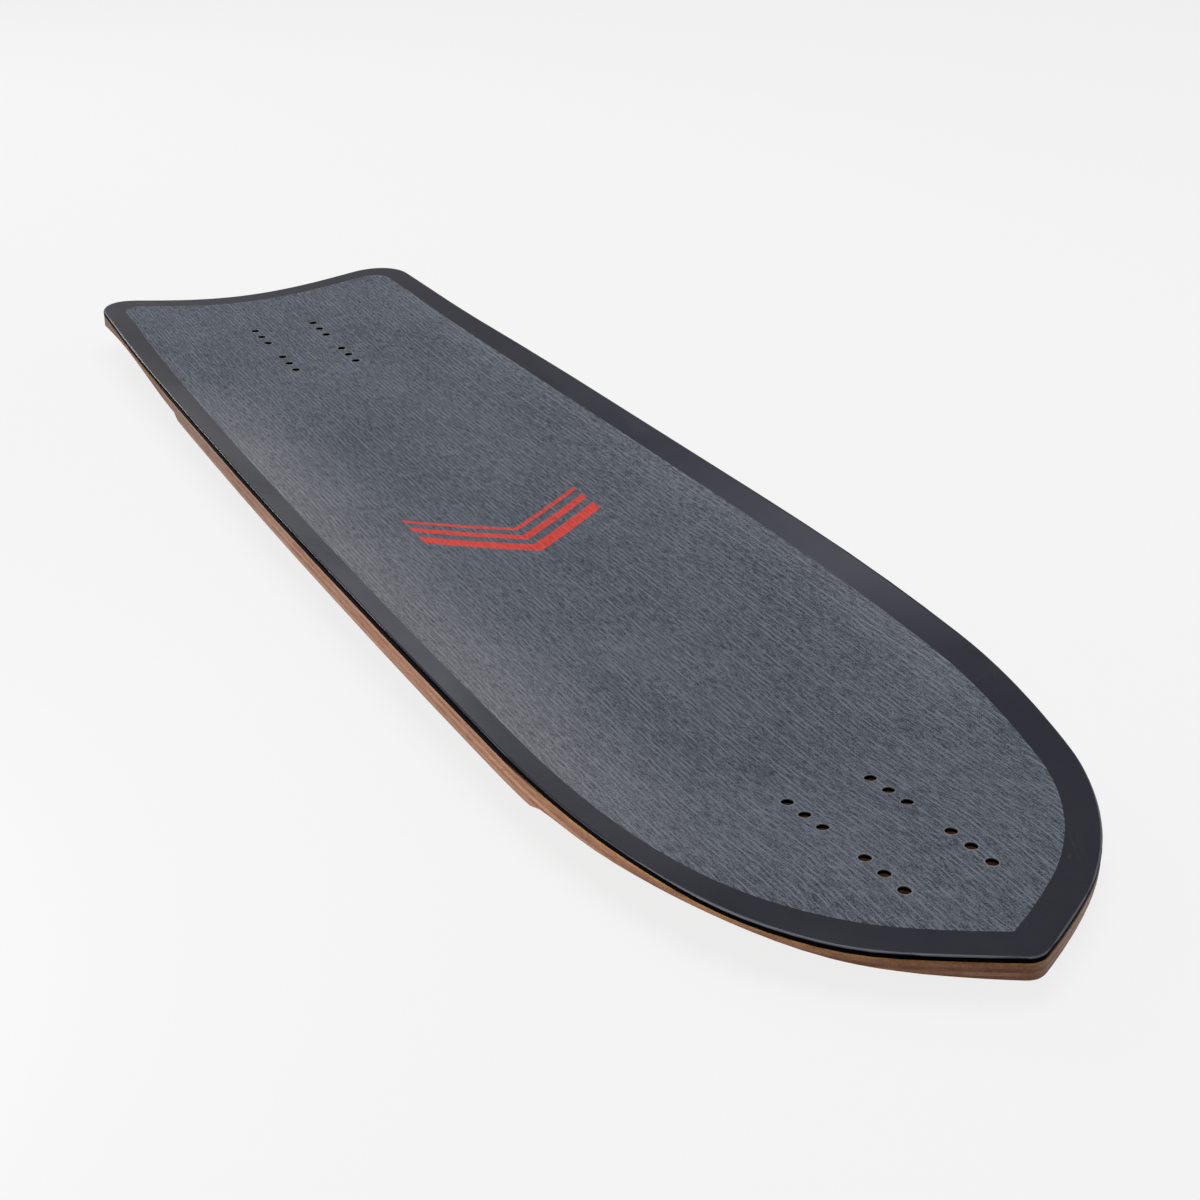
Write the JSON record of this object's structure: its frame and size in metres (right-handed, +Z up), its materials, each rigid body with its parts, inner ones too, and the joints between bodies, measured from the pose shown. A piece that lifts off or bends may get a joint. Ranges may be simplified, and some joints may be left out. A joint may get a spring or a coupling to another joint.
{
  "type": "longboard deck",
  "caption": "Bare longboard skateboard deck with a concave pressed-wood shell, wheel wells, a grip panel in a smooth border, and truck bolt holes at three positions an end.",
  "frame": {"origin": "Middle of the deck's plan outline, on the plane under its lowest point.", "axes": "+X towards the nose, along the deck; +Y to the rider's left when facing the nose; +Z up, out of the standing side."},
  "size_m": [0.87, 0.242, 0.0324],
  "materials": {
    "grip": "fine blasted grip coat with lengthwise streaks",
    "black_lacquer": "satin",
    "black_stained_wood": "stained and sealed",
    "glass_laminate": "resin with glass fibre",
    "maple": "sanded and sealed",
    "maple_cross": "end grain, sanded and sealed",
    "walnut": "sanded and sealed"
  },
  "bodies": {
    "root": {"grip_panel": "grip", "border_band": "black_lacquer", "face_ply": "black_stained_wood", "upper_glass": "glass_laminate", "upper_ply": "maple_cross", "core_ply_1": "maple", "core_ply_2": "maple_cross", "core_ply_3": "maple", "core_ply_4": "maple_cross", "core_ply_5": "maple", "lower_glass": "glass_laminate", "base_veneer": "walnut"}
  },
  "joints": []
}
